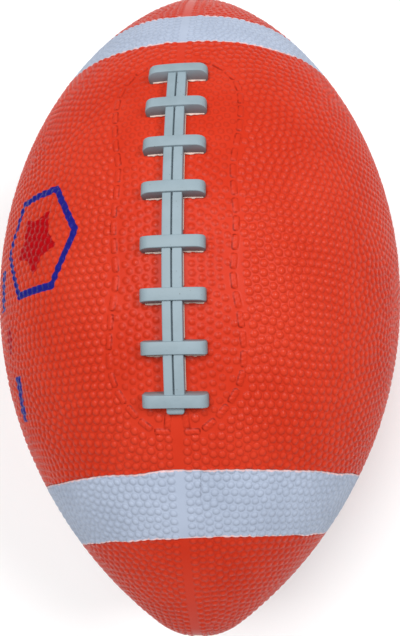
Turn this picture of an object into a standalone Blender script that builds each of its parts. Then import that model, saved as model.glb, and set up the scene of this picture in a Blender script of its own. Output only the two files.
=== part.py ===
"""Moulded rubber American football, built up in layers as the real ball is.

The long axis lies along X, with the front end, where the lace has its tail,
at +X. The lace is on top, at +Z. The origin is under the middle of the ball,
on the surface that it lies on, so the ball's centre is half a diameter up.

From the inside out, the ball is an air-filled bladder, a layer of wound nylon
thread, a rubber carcass in two halves and a rubber cover. The cover is four
panels between two bands, and a cap over each tip. Every layer follows the
same outline, one below the other. Round the ball and along it they all have
the same steps, so that their flats stay parallel and never meet.
"""

import math

import bmesh
import bpy

# The ball's outline, in metres: one long arc from end to end, and a smaller
# arc round each tip that runs smoothly into it.
BALL_LENGTH = 0.286
BALL_DIAMETER = 0.171
SIDE_ARC_RADIUS = 0.172

# The cover's pieces, by their distance from the middle of the ball.
BAND_INNER_X = 0.0802
BAND_OUTER_X = 0.1016
JOINT_GAP = 0.0003
BAND_JOIN_ANGLES = {"front": 6.0, "rear": 186.0}

# The layers, from the outside in.
COVER_THICKNESS = 0.0014
CARCASS_THICKNESS = 0.0005
WINDING_THICKNESS = 0.0005
BLADDER_THICKNESS = 0.0007
LAYER_GAP = 0.0003

# The lace: two rails side by side on one base, under eight cross bars. The
# bars are evenly spaced, except for a wider step in the middle.
BARS_A_SIDE = 4
BAR_PITCH = 0.0164
MIDDLE_PITCH = 0.0182
BAR_LENGTH = 0.0210
BAR_WIDTH = 0.0050
BAR_HEIGHT = 0.0045
BAR_SHOULDER = 0.0034
BAR_SHOULDER_STEPS = 4
BAR_EDGE = 0.0004
RAIL_WIDTH = 0.0061
RAIL_HEIGHT = 0.0034
RAIL_CLEARANCE = 0.0005
RAIL_HEAD = 0.0024
RAIL_TAIL = 0.0046
RAIL_GROOVE_WIDTH = 0.0006
RAIL_GROOVE_DEPTH = 0.0016
RAIL_GROOVE_OVERRUN = 0.0020

# The valve, on the right-hand side seam, at the middle of the ball. Its
# ends are measured from the ball's long axis, and its flat flange is set back
# from the curved inside of the bladder.
VALVE_HOLE_RADIUS = 0.0048
VALVE_NECK_RADIUS = 0.0045
VALVE_FACE_DEPTH = 0.0004
VALVE_FLANGE_RADIUS = 0.0100
VALVE_FLANGE_SETBACK = 0.0018
VALVE_FLANGE_THICKNESS = 0.0012
VALVE_INNER_END = 0.0730
VALVE_BORE_RADIUS = 0.0026
VALVE_POCKET_RADIUS = 0.0034
VALVE_POCKET_TOP = 0.0815
VALVE_POCKET_BOTTOM = 0.0765
VALVE_CHAMFER = 0.0006
NEEDLE_HOLE_RADIUS = 0.0009
NEEDLE_HOLE_DEPTH = 0.0035

# How finely the round shapes are divided.
STEPS_ROUND = 24
PANEL_STEPS = 8
BAND_STEPS = 1
CAP_SIDE_STEPS = 2
TIP_STEPS = 3
RAIL_STEPS = 20
VALVE_STEPS = 24
MERGE_DISTANCE = 0.00001

HALF_LENGTH = BALL_LENGTH / 2
RADIUS = BALL_DIAMETER / 2
SIDE_ARC_SETBACK = SIDE_ARC_RADIUS - RADIUS
TIP_RADIUS = ((2 * SIDE_ARC_RADIUS * RADIUS - RADIUS ** 2 - HALF_LENGTH ** 2)
              / (2 * (SIDE_ARC_RADIUS - HALF_LENGTH)))
TIP_CENTRE_X = HALF_LENGTH - TIP_RADIUS
TIP_START_ANGLE = math.atan2(TIP_CENTRE_X, SIDE_ARC_SETBACK)

CARCASS_INSET = COVER_THICKNESS + LAYER_GAP
WINDING_INSET = CARCASS_INSET + CARCASS_THICKNESS + LAYER_GAP
BLADDER_INSET = WINDING_INSET + WINDING_THICKNESS + LAYER_GAP
VALVE_FLANGE_TOP = RADIUS - BLADDER_INSET - BLADDER_THICKNESS - VALVE_FLANGE_SETBACK

# Base colour in linear light, roughness.
RUBBERS = {
    "orange_rubber": ((0.68, 0.055, 0.024), 0.50),
    "white_rubber": ((0.46, 0.52, 0.65), 0.52),
    "lace_rubber": ((0.40, 0.48, 0.54), 0.45),
    "carcass_rubber": ((0.16, 0.13, 0.11), 0.75),
    "wound_nylon": ((0.62, 0.60, 0.54), 0.80),
    "butyl_rubber": ((0.018, 0.018, 0.020), 0.55),
    "valve_rubber": ((0.030, 0.030, 0.032), 0.50),
    "valve_plug_rubber": ((0.10, 0.10, 0.11), 0.50),
}


def rubber(name):
    """A plain material for one kind of rubber or thread."""
    material = bpy.data.materials.new(name)
    material.use_nodes = True
    shader = material.node_tree.nodes["Principled BSDF"]
    colour, roughness = RUBBERS[name]
    shader.inputs["Base Color"].default_value = (*colour, 1.0)
    shader.inputs["Roughness"].default_value = roughness
    shader.inputs["Metallic"].default_value = 0.0
    return material


def outline_point(lean, inset):
    """A point of the ball's outline, as (radius, distance along the axis).

    lean is the angle between the outline's outward normal and the plane
    across the middle of the ball. inset is how far the layer lies inside.
    """
    if abs(lean) <= TIP_START_ANGLE:
        arm = SIDE_ARC_RADIUS - inset
        return arm * math.cos(lean) - SIDE_ARC_SETBACK, arm * math.sin(lean)
    arm = TIP_RADIUS - inset
    centre = math.copysign(TIP_CENTRE_X, lean)
    return arm * math.cos(lean), centre + arm * math.sin(lean)


def lean_at(x):
    """The outline's lean where the long arc is x from the ball's middle."""
    return math.asin(x / SIDE_ARC_RADIUS)


def divided(start, end, steps):
    """The angles from start to end in equal steps, both ends included."""
    return [start + (end - start) * i / steps for i in range(steps + 1)]


def object_from_bmesh(name, mesh_builder, collection, centre):
    """Makes a named object of a bmesh, parented to the ball's centre."""
    mesh = bpy.data.meshes.new(name)
    mesh_builder.to_mesh(mesh)
    mesh_builder.free()
    item = bpy.data.objects.new(name, mesh)
    item.parent = centre
    collection.objects.link(item)
    return item


def profile_object(name, points, collection, centre):
    """An object that holds a turning profile: a chain of edges in XZ."""
    builder = bmesh.new()
    corners = [builder.verts.new((radius, 0.0, height)) for radius, height in points]
    for first, second in zip(corners, corners[1:]):
        builder.edges.new((first, second))
    return object_from_bmesh(name, builder, collection, centre)


def turn(item, steps, angle=2 * math.pi):
    """Turns an object's profile about its own Z axis."""
    screw = item.modifiers.new("turn", "SCREW")
    screw.axis = "Z"
    screw.angle = angle
    screw.steps = steps
    screw.render_steps = steps
    screw.use_merge_vertices = True
    screw.merge_threshold = MERGE_DISTANCE


def thicken(item, thickness, side):
    """Gives an open surface a thickness: side is -1 inwards, 1 outwards."""
    shell = item.modifiers.new("thickness", "SOLIDIFY")
    shell.thickness = thickness
    shell.offset = side
    shell.use_even_offset = True


def combine(item, other, operation):
    """Cuts, joins or intersects an object with another one."""
    boolean = item.modifiers.new(other.name, "BOOLEAN")
    boolean.operation = operation
    boolean.object = other
    boolean.solver = "EXACT"


def hide_as_cutter(item):
    """A cutter isn't part of the ball: it shows only as wires."""
    item.hide_render = True
    item.display_type = "WIRE"
    return item


def box_cutter(name, low, high, cutters, centre):
    """A box between two corners, measured from the ball's centre."""
    builder = bmesh.new()
    bmesh.ops.create_cube(builder, size=1.0)
    size = [top - bottom for bottom, top in zip(low, high)]
    middle = [(top + bottom) / 2 for bottom, top in zip(low, high)]
    bmesh.ops.scale(builder, vec=size, verts=builder.verts)
    bmesh.ops.translate(builder, vec=middle, verts=builder.verts)
    return hide_as_cutter(object_from_bmesh(name, builder, cutters, centre))


def valve_hole_cutter(cutters, centre):
    """A cylinder that bores through every layer on the right-hand side."""
    builder = bmesh.new()
    bmesh.ops.create_cone(builder, cap_ends=True, segments=VALVE_STEPS, depth=RADIUS / 2,
                          radius1=VALVE_HOLE_RADIUS, radius2=VALVE_HOLE_RADIUS)
    cutter = object_from_bmesh("valve_hole", builder, cutters, centre)
    cutter.location = (0.0, RADIUS, 0.0)
    # Half a step of turn keeps its corners off the seam.
    cutter.rotation_euler = (-math.pi / 2, math.pi / VALVE_STEPS, 0.0)
    return hide_as_cutter(cutter)


def turned_layer(name, leans, inset, thickness, collection, centre):
    """A shell of revolution that follows the ball's outline."""
    points = [outline_point(lean, inset) for lean in reversed(leans)]
    layer = profile_object(name, points, collection, centre)
    # The turning axis is the object's own Z, laid along the ball's X.
    layer.rotation_euler = (0.0, math.pi / 2, 0.0)
    turn(layer, STEPS_ROUND)
    thicken(layer, thickness, -1.0)
    return layer


def whole_outline():
    """The leans of a layer that runs from tip to tip, in the cover's steps."""
    band_inner = lean_at(BAND_INNER_X)
    band_outer = lean_at(BAND_OUTER_X)
    front = divided(0.0, band_inner, PANEL_STEPS // 2)
    front += divided(band_inner, band_outer, BAND_STEPS)[1:]
    front += divided(band_outer, TIP_START_ANGLE, CAP_SIDE_STEPS)[1:]
    front += divided(TIP_START_ANGLE, math.pi / 2, TIP_STEPS)[1:]
    rear = [-lean for lean in reversed(front[1:])]
    return rear + front


def half_joint_lean():
    """Half of the gap between two pieces of the cover, as a lean."""
    return JOINT_GAP / 2 / SIDE_ARC_RADIUS


def make_cover_panel(row, side, material, collection, cutters, centre, valve_hole):
    """One quarter of the cover between the bands, from seam to seam."""
    edge = lean_at(BAND_INNER_X) - half_joint_lean()
    panel = turned_layer(f"cover_panel_{row}_{side}", divided(-edge, edge, PANEL_STEPS),
                         0.0, COVER_THICKNESS, collection, centre)
    reach = BALL_DIAMETER
    spans = {
        "right": (JOINT_GAP / 2, reach),
        "left": (-reach, -JOINT_GAP / 2),
        "top": (JOINT_GAP / 2, reach),
        "bottom": (-reach, -JOINT_GAP / 2),
    }
    low = (-reach, spans[side][0], spans[row][0])
    high = (reach, spans[side][1], spans[row][1])
    quarter = box_cutter(f"quarter_{row}_{side}", low, high, cutters, centre)
    combine(panel, quarter, "INTERSECT")
    if side == "right":
        combine(panel, valve_hole, "DIFFERENCE")
    panel.data.materials.append(material)


def make_white_band(end, material, collection, cutters, centre):
    """A strip wrapped once round the ball, its two ends butted together."""
    inner = lean_at(BAND_INNER_X) + half_joint_lean()
    outer = lean_at(BAND_OUTER_X) - half_joint_lean()
    leans = divided(inner, outer, BAND_STEPS)
    if end == "rear":
        leans = [-lean for lean in reversed(leans)]
    band = turned_layer(f"white_band_{end}", leans, 0.0, COVER_THICKNESS, collection, centre)
    half_gap = JOINT_GAP / 2
    join = box_cutter(f"join_{end}", (-BALL_LENGTH, -half_gap, 0.0),
                      (BALL_LENGTH, half_gap, BALL_DIAMETER), cutters, centre)
    join.rotation_euler = (-math.radians(BAND_JOIN_ANGLES[end]), 0.0, 0.0)
    combine(band, join, "DIFFERENCE")
    band.data.materials.append(material)


def make_end_cap(end, material, collection, centre):
    """The piece of the cover over one tip."""
    outer = lean_at(BAND_OUTER_X) + half_joint_lean()
    leans = divided(outer, TIP_START_ANGLE, CAP_SIDE_STEPS)
    leans += divided(TIP_START_ANGLE, math.pi / 2, TIP_STEPS)[1:]
    if end == "rear":
        leans = [-lean for lean in reversed(leans)]
    cap = turned_layer(f"end_cap_{end}", leans, 0.0, COVER_THICKNESS, collection, centre)
    cap.data.materials.append(material)


def make_carcass_half(side, material, collection, cutters, centre, valve_hole):
    """One of the two rubber sheets that meet along the ball's length."""
    half = turned_layer(f"carcass_{side}", whole_outline(), CARCASS_INSET,
                        CARCASS_THICKNESS, collection, centre)
    reach = BALL_LENGTH
    spans = {"right": (JOINT_GAP / 2, reach), "left": (-reach, -JOINT_GAP / 2)}
    low = (-reach, spans[side][0], -reach)
    high = (reach, spans[side][1], reach)
    combine(half, box_cutter(f"half_{side}", low, high, cutters, centre), "INTERSECT")
    if side == "right":
        combine(half, valve_hole, "DIFFERENCE")
    half.data.materials.append(material)


def make_closed_layer(name, inset, thickness, material, collection, centre, valve_hole):
    """A layer that wraps the whole ball, open only at the valve."""
    layer = turned_layer(name, whole_outline(), inset, thickness, collection, centre)
    combine(layer, valve_hole, "DIFFERENCE")
    layer.data.materials.append(material)


def lace_arc_strip(name, width, inner_gap, height, start, end, collection, centre):
    """A strip of the given width and height that follows the top of the ball.

    start and end are leans. inner_gap is the strip's height off the cover.
    """
    arm = SIDE_ARC_RADIUS + inner_gap
    points = [(arm, width / 2), (arm, -width / 2)]
    strip = profile_object(name, points, collection, centre)
    strip.location = (0.0, 0.0, -SIDE_ARC_SETBACK)
    # Local Z goes along the ball's Y, and local X to the strip's start.
    strip.rotation_euler = (-math.pi / 2, start - math.pi / 2, 0.0)
    turn(strip, RAIL_STEPS, end - start)
    thicken(strip, height, 1.0)
    return strip


def bar_leans():
    """Where the bars stand, as leans, from the rear to the front."""
    front = [MIDDLE_PITCH / 2 + BAR_PITCH * number for number in range(BARS_A_SIDE)]
    places = [-place for place in reversed(front)] + front
    return [place / SIDE_ARC_RADIUS for place in places]


def is_shoulder(edge):
    """True for the two top edges at a bar's ends, which run along X."""
    at_top = all(vertex.co.z > 0 for vertex in edge.verts)
    at_one_end = edge.verts[0].co.y * edge.verts[1].co.y > 0
    return at_top and at_one_end


def make_lace_bar(number, lean, cutters, centre):
    """One cross bar with round shoulders, standing on the cover at a lean."""
    builder = bmesh.new()
    bmesh.ops.create_cube(builder, size=1.0)
    bmesh.ops.scale(builder, vec=(BAR_WIDTH, BAR_LENGTH, BAR_HEIGHT), verts=builder.verts)
    shoulders = [edge for edge in builder.edges if is_shoulder(edge)]
    bmesh.ops.bevel(builder, geom=shoulders, offset=BAR_SHOULDER, affect="EDGES",
                    segments=BAR_SHOULDER_STEPS, profile=0.5)
    bar = object_from_bmesh(f"lace_bar_{number}", builder, cutters, centre)
    arm = SIDE_ARC_RADIUS + JOINT_GAP + BAR_HEIGHT / 2
    bar.location = (arm * math.sin(lean), 0.0, arm * math.cos(lean) - SIDE_ARC_SETBACK)
    bar.rotation_euler = (0.0, lean, 0.0)
    edges = bar.modifiers.new("rounded_edges", "BEVEL")
    edges.width = BAR_EDGE
    edges.segments = 1
    edges.limit_method = "ANGLE"
    return hide_as_cutter(bar)


def make_lace(material, collection, cutters, centre):
    """Rails, bars and tail, moulded as one piece and bonded on the cover."""
    leans = bar_leans()
    start = leans[0] - RAIL_HEAD / SIDE_ARC_RADIUS
    end = leans[-1] + RAIL_TAIL / SIDE_ARC_RADIUS
    lace = lace_arc_strip("lace_strip", RAIL_WIDTH, RAIL_CLEARANCE, RAIL_HEIGHT,
                          start, end, collection, centre)
    groove_start = start - RAIL_GROOVE_OVERRUN / SIDE_ARC_RADIUS
    groove_floor = RAIL_CLEARANCE + RAIL_HEIGHT - RAIL_GROOVE_DEPTH
    groove = lace_arc_strip("rail_groove", RAIL_GROOVE_WIDTH, groove_floor, RAIL_HEIGHT,
                            groove_start, leans[-1], cutters, centre)
    combine(lace, hide_as_cutter(groove), "DIFFERENCE")
    for number, lean in enumerate(leans, start=1):
        bar = make_lace_bar(number, lean, cutters, centre)
        combine(lace, bar, "UNION")
    lace.data.materials.append(material)


def turned_valve_part(name, points, material, collection, centre):
    """A part of the valve, turned about the line from the ball's axis to its side."""
    part = profile_object(name, points, collection, centre)
    part.rotation_euler = (-math.pi / 2, 0.0, 0.0)
    turn(part, VALVE_STEPS)
    part.data.materials.append(material)


def make_valve_housing(material, collection, centre):
    """The socket: a flange inside the bladder, a neck out to the cover, a bore."""
    face = RADIUS - VALVE_FACE_DEPTH
    flange_bottom = VALVE_FLANGE_TOP - VALVE_FLANGE_THICKNESS
    chamfer = VALVE_CHAMFER
    outside = [
        (VALVE_NECK_RADIUS, face),
        (VALVE_NECK_RADIUS, VALVE_FLANGE_TOP),
        (VALVE_FLANGE_RADIUS, VALVE_FLANGE_TOP),
        (VALVE_FLANGE_RADIUS, flange_bottom),
        (VALVE_NECK_RADIUS, flange_bottom),
        (VALVE_NECK_RADIUS, VALVE_INNER_END + chamfer),
        (VALVE_NECK_RADIUS - chamfer, VALVE_INNER_END),
    ]
    bore = [
        (VALVE_BORE_RADIUS, VALVE_INNER_END),
        (VALVE_BORE_RADIUS, VALVE_POCKET_BOTTOM - chamfer),
        (VALVE_POCKET_RADIUS, VALVE_POCKET_BOTTOM),
        (VALVE_POCKET_RADIUS, VALVE_POCKET_TOP),
        (VALVE_BORE_RADIUS, VALVE_POCKET_TOP + chamfer),
        (VALVE_BORE_RADIUS, face),
    ]
    points = outside + bore + outside[:1]
    turned_valve_part("valve_housing", points, material, collection, centre)


def make_valve_plug(material, collection, centre):
    """The self-sealing plug, held in the socket by the bulge at its middle."""
    top = RADIUS - VALVE_FACE_DEPTH - LAYER_GAP
    stem = VALVE_BORE_RADIUS - LAYER_GAP
    bulge = VALVE_POCKET_RADIUS - LAYER_GAP
    bulge_top = VALVE_POCKET_TOP - LAYER_GAP
    bulge_bottom = VALVE_POCKET_BOTTOM + LAYER_GAP
    hole_bottom = top - NEEDLE_HOLE_DEPTH
    points = [
        (0.0, hole_bottom),
        (NEEDLE_HOLE_RADIUS, hole_bottom + NEEDLE_HOLE_RADIUS),
        (NEEDLE_HOLE_RADIUS, top),
        (stem, top),
        (stem, bulge_top + VALVE_CHAMFER),
        (bulge, bulge_top),
        (bulge, bulge_bottom),
        (stem, bulge_bottom - VALVE_CHAMFER),
        (stem, VALVE_INNER_END + VALVE_CHAMFER),
        (stem - VALVE_CHAMFER, VALVE_INNER_END),
        (0.0, VALVE_INNER_END),
    ]
    turned_valve_part("valve_plug", points, material, collection, centre)


def clear_scene():
    """Removes whatever the file opened with."""
    for item in list(bpy.data.objects):
        bpy.data.objects.remove(item, do_unlink=True)


def new_collection(name):
    """A collection in the scene."""
    collection = bpy.data.collections.new(name)
    bpy.context.scene.collection.children.link(collection)
    return collection


def build_ball():
    """Builds every piece of the ball round one centre."""
    ball = new_collection("rubber_football")
    cutters = new_collection("cutters")
    centre = bpy.data.objects.new("ball_centre", None)
    centre.location = (0.0, 0.0, RADIUS)
    ball.objects.link(centre)
    materials = {name: rubber(name) for name in RUBBERS}
    valve_hole = valve_hole_cutter(cutters, centre)

    for row in ("top", "bottom"):
        for side in ("left", "right"):
            make_cover_panel(row, side, materials["orange_rubber"], ball, cutters,
                             centre, valve_hole)
    for end in ("front", "rear"):
        make_white_band(end, materials["white_rubber"], ball, cutters, centre)
        make_end_cap(end, materials["orange_rubber"], ball, centre)
    make_lace(materials["lace_rubber"], ball, cutters, centre)
    for side in ("left", "right"):
        make_carcass_half(side, materials["carcass_rubber"], ball, cutters, centre,
                          valve_hole)
    make_closed_layer("nylon_winding", WINDING_INSET, WINDING_THICKNESS,
                      materials["wound_nylon"], ball, centre, valve_hole)
    make_closed_layer("bladder", BLADDER_INSET, BLADDER_THICKNESS,
                      materials["butyl_rubber"], ball, centre, valve_hole)
    make_valve_housing(materials["valve_rubber"], ball, centre)
    make_valve_plug(materials["valve_plug_rubber"], ball, centre)


clear_scene()
build_ball()
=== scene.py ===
"""The look of a moulded rubber football: grained cover, moulded lace and valve over its inner layers."""

import math

import bmesh
import bpy
import numpy as np
from mathutils import Matrix, Vector
from mathutils.kdtree import KDTree


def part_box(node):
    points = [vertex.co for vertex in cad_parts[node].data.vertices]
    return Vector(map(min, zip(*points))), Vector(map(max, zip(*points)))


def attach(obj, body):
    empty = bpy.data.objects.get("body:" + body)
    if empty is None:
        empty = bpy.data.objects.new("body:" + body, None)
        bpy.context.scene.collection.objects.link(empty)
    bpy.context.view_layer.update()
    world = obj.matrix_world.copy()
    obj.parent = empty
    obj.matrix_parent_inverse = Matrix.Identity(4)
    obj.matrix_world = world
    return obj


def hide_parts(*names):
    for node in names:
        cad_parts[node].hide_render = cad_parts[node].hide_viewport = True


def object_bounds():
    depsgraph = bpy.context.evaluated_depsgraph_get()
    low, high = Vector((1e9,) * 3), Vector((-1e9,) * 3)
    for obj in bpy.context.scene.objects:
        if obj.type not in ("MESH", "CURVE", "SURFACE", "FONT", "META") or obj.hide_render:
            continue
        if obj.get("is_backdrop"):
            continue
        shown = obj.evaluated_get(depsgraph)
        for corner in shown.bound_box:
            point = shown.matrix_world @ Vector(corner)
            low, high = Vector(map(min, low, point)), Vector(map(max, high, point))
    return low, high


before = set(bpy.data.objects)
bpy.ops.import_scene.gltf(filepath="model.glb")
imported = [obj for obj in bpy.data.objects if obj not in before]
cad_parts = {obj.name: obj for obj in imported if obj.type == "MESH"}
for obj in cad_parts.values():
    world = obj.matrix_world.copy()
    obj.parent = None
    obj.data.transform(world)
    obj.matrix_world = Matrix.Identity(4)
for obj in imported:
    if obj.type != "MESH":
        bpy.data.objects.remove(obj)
cad_box = [list(corner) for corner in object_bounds()]

# Bladder: an airtight bag of black butyl rubber, moulded in one piece, that holds the air.
# It is dull, with talc left on it so that the winding slides over it while the ball is pumped up.

TALC_CLOUD = 0.016667
BUTYL_TOOTH = 0.000625
SOFT_RANGE = {"interpolation_type": "SMOOTHSTEP"}
COLOUR_MIX = {"data_type": "RGBA"}


def linear(hex_colour):
    """Turns an sRGB hex colour into the linear colour that the shaders work in."""
    parts = [int(hex_colour[i : i + 2], 16) / 255.0 for i in (1, 3, 5)]
    return [c / 12.92 if c <= 0.04045 else ((c + 0.055) / 1.055) ** 2.4 for c in parts] + [1.0]


def add_node(tree, kind, options=(), values=(), links=()):
    """Adds one shader node with its options, its input values and the sockets that feed it."""
    node = tree.nodes.new(kind)
    for name, value in dict(options).items():
        setattr(node, name, value)
    for name, value in dict(values).items():
        node.inputs[name].default_value = value
    for name, socket in dict(links).items():
        tree.links.new(socket, node.inputs[name])
    return node


def new_material(name):
    """Starts an empty material and gives it, its node tree and the place of its surface."""
    material = bpy.data.materials.new(name)
    material.use_nodes = True
    tree = material.node_tree
    tree.nodes.clear()
    return material, tree, add_node(tree, "ShaderNodeTexCoord").outputs["Object"]


def butyl_rubber():
    """Moulded butyl: near black and dull, greyed in soft clouds by the talc."""
    material, tree, place = new_material("talced_butyl_rubber")
    values = {"Scale": 1.0 / TALC_CLOUD, "Detail": 5.0}
    clouds = add_node(tree, "ShaderNodeTexNoise", {}, values, {"Vector": place}).outputs["Fac"]
    values = {"From Min": 0.42, "From Max": 0.72}
    talc = add_node(tree, "ShaderNodeMapRange", SOFT_RANGE, values, {"Value": clouds}).outputs["Result"]
    values = {6: linear("#1B1B1D"), 7: linear("#3E3D3C")}
    colour = add_node(tree, "ShaderNodeMix", COLOUR_MIX, values, {0: talc}).outputs[2]
    values = {"To Min": 0.55, "To Max": 0.85}
    dullness = add_node(tree, "ShaderNodeMapRange", SOFT_RANGE, values, {"Value": talc}).outputs["Result"]
    values = {"Scale": 1.0 / BUTYL_TOOTH, "Detail": 3.0}
    tooth = add_node(tree, "ShaderNodeTexNoise", {}, values, {"Vector": place}).outputs["Fac"]
    values = {"Strength": 0.3, "Distance": 0.0002}
    relief = add_node(tree, "ShaderNodeBump", {}, values, {"Height": tooth}).outputs["Normal"]
    links = {"Base Color": colour, "Roughness": dullness, "Normal": relief}
    shader = add_node(tree, "ShaderNodeBsdfPrincipled", {}, {"IOR": 1.53}, links)
    add_node(tree, "ShaderNodeOutputMaterial", {}, {}, {"Surface": shader.outputs["BSDF"]})
    return material


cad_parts["bladder"].material_slots[0].material = butyl_rubber()

# Winding: kilometres of nylon thread laid round the bladder in every direction and wetted with latex.
# It keeps the ball from growing out of shape; the threads cross as fine raised lines under a thin skin.

THREAD_SPACING = 0.0012
THREAD_SLANTS = (0.35, -0.5, 1.35)
WAVE_LENGTH_AT_ONE = 0.314


def wound_nylon():
    """Nylon thread in latex: cream, faintly glossy, with threads that cross at three slants."""
    material, tree, place = new_material("latex_wet_wound_nylon")
    height = None
    for turn in THREAD_SLANTS:
        values = {"Rotation": (turn, 0.0, turn)}
        slant = add_node(tree, "ShaderNodeMapping", {}, values, {"Vector": place}).outputs["Vector"]
        options = {"wave_type": "BANDS", "bands_direction": "X"}
        values = {"Scale": WAVE_LENGTH_AT_ONE / THREAD_SPACING, "Distortion": 1.5}
        values.update({"Detail": 1.0, "Detail Scale": 0.4})
        threads = add_node(tree, "ShaderNodeTexWave", options, values, {"Vector": slant}).outputs["Fac"]
        if height is None:
            height = threads
        else:
            links = {0: height, 1: threads}
            height = add_node(tree, "ShaderNodeMath", {"operation": "MAXIMUM"}, {}, links).outputs[0]
    values = {"From Min": 0.2}
    crest = add_node(tree, "ShaderNodeMapRange", SOFT_RANGE, values, {"Value": height}).outputs["Result"]
    values = {6: linear("#BBB5A6"), 7: linear("#E2DED4")}
    colour = add_node(tree, "ShaderNodeMix", COLOUR_MIX, values, {0: crest}).outputs[2]
    values = {"To Min": 0.6, "To Max": 0.4}
    gloss = add_node(tree, "ShaderNodeMapRange", SOFT_RANGE, values, {"Value": height}).outputs["Result"]
    values = {"Strength": 0.6, "Distance": 0.0003}
    relief = add_node(tree, "ShaderNodeBump", {}, values, {"Height": height}).outputs["Normal"]
    links = {"Base Color": colour, "Roughness": gloss, "Normal": relief}
    shader = add_node(tree, "ShaderNodeBsdfPrincipled", {}, {"IOR": 1.53}, links)
    add_node(tree, "ShaderNodeOutputMaterial", {}, {}, {"Surface": shader.outputs["BSDF"]})
    return material


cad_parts["nylon_winding"].material_slots[0].material = wound_nylon()

# Carcass: two half shells of calendered brown-grey rubber pressed over the winding, joined round the ball.
# The cover is bonded to them, so their outside is left matt and slightly torn by the buffing wheel.

SCRATCH_WIDTH = 0.00041667
SCRATCH_LENGTH = 0.00625


def carcass_rubber():
    """Buffed brown-grey rubber: matt, scratched one way round the ball by the wheel."""
    material, tree, place = new_material("buffed_carcass_rubber")
    values = {"Scale": (1.0 / SCRATCH_WIDTH, 1.0 / SCRATCH_LENGTH, 1.0 / SCRATCH_LENGTH)}
    drawn = add_node(tree, "ShaderNodeMapping", {}, values, {"Vector": place}).outputs["Vector"]
    values = {"Scale": 1.0, "Detail": 4.0}
    scratches = add_node(tree, "ShaderNodeTexNoise", {}, values, {"Vector": drawn}).outputs["Fac"]
    values = {"From Min": 0.35, "From Max": 0.7}
    marks = add_node(tree, "ShaderNodeMapRange", SOFT_RANGE, values, {"Value": scratches}).outputs["Result"]
    values = {6: linear("#5F5750"), 7: linear("#7B726A")}
    colour = add_node(tree, "ShaderNodeMix", COLOUR_MIX, values, {0: marks}).outputs[2]
    values = {"To Min": 0.7, "To Max": 0.9}
    dullness = add_node(tree, "ShaderNodeMapRange", SOFT_RANGE, values, {"Value": marks}).outputs["Result"]
    values = {"Strength": 0.5, "Distance": 0.0002}
    relief = add_node(tree, "ShaderNodeBump", {}, values, {"Height": marks}).outputs["Normal"]
    links = {"Base Color": colour, "Roughness": dullness, "Normal": relief}
    shader = add_node(tree, "ShaderNodeBsdfPrincipled", {}, {"IOR": 1.53}, links)
    add_node(tree, "ShaderNodeOutputMaterial", {}, {}, {"Surface": shader.outputs["BSDF"]})
    return material


buffed_rubber = carcass_rubber()
for half in ("carcass_left", "carcass_right"):
    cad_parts[half].material_slots[0].material = buffed_rubber

# Cover panels: four quarters of orange natural rubber, vulcanised in a mould that gives them their grain.
# They meet along four smooth strips that run from tip to tip. The top two carry a moulded stitch line,
# and the right-hand two leave a round hole for the valve.

BALL_RADIUS = round(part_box("cover_panel_top_right")[1].z / 2.0, 4)
HALF_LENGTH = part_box("end_cap_front")[1].x
SIDE_ARC_RADIUS = 0.172
SIDE_ARC_DROP = SIDE_ARC_RADIUS - BALL_RADIUS
TIP_RADIUS = (SIDE_ARC_RADIUS**2 - HALF_LENGTH**2 - SIDE_ARC_DROP**2) / 2.0 / (SIDE_ARC_RADIUS - HALF_LENGTH)
TIP_CENTRE = HALF_LENGTH - TIP_RADIUS
TIP_LEAN = math.atan2(TIP_CENTRE, SIDE_ARC_DROP)
SIDE_LENGTH = SIDE_ARC_RADIUS * TIP_LEAN
FULL_LENGTH = SIDE_LENGTH + TIP_RADIUS * (math.pi / 2.0 - TIP_LEAN)
COVER_THICKNESS = 0.0014
GRAIN_PITCH = 0.00315
GRAIN_RADIUS = 0.00133
GRAIN_HEIGHT = 0.0005
GRAIN_STEPS = 170
GRAIN_END_MARGIN = 0.0036
GRAIN_LONGEST_STEP = 0.0006
DOME_POWER = 1.7
STRIP_HALF = 0.0016


def outline(along):
    """Axial place, radius and outward direction of the smooth ball at a length from its middle."""
    size = np.abs(along)
    on_side = size <= SIDE_LENGTH
    lean = np.where(on_side, size / SIDE_ARC_RADIUS, TIP_LEAN + (size - SIDE_LENGTH) / TIP_RADIUS)
    x = np.where(on_side, SIDE_ARC_RADIUS * np.sin(lean), TIP_CENTRE + TIP_RADIUS * np.sin(lean))
    radius = np.where(on_side, SIDE_ARC_RADIUS * np.cos(lean) - SIDE_ARC_DROP, TIP_RADIUS * np.cos(lean))
    side = np.sign(along)
    return side * x, np.maximum(radius, 0.0), side * np.sin(lean), np.cos(lean)


def skin(along, turn, height):
    """Points of the ball at lengths from its middle, angles round it from the top, and heights over it."""
    x, radius, out_x, out_r = outline(along)
    reach = radius + height * out_r
    return np.stack([x + height * out_x, reach * np.sin(turn), BALL_RADIUS + reach * np.cos(turn)], -1)


def start_grain(rng, end):
    """Grain centres in rows across one quarter of the ball, each shaken out of its place."""
    along = []
    turn = []
    for row in np.arange(-end, end, GRAIN_PITCH * 0.866):
        radius = float(outline(np.array(row))[1])
        width = radius * math.pi / 2.0 - 2.0 * (STRIP_HALF + GRAIN_RADIUS)
        count = max(1, int(round(width / GRAIN_PITCH)) + 1)
        places = (np.arange(count) + 0.5) / count * width + STRIP_HALF + GRAIN_RADIUS
        along.append(row + rng.uniform(-0.5, 0.5, count) * GRAIN_PITCH)
        turn.append((places + rng.uniform(-0.4, 0.4, count) * GRAIN_PITCH) / radius)
    return np.concatenate(along), np.concatenate(turn)


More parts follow.
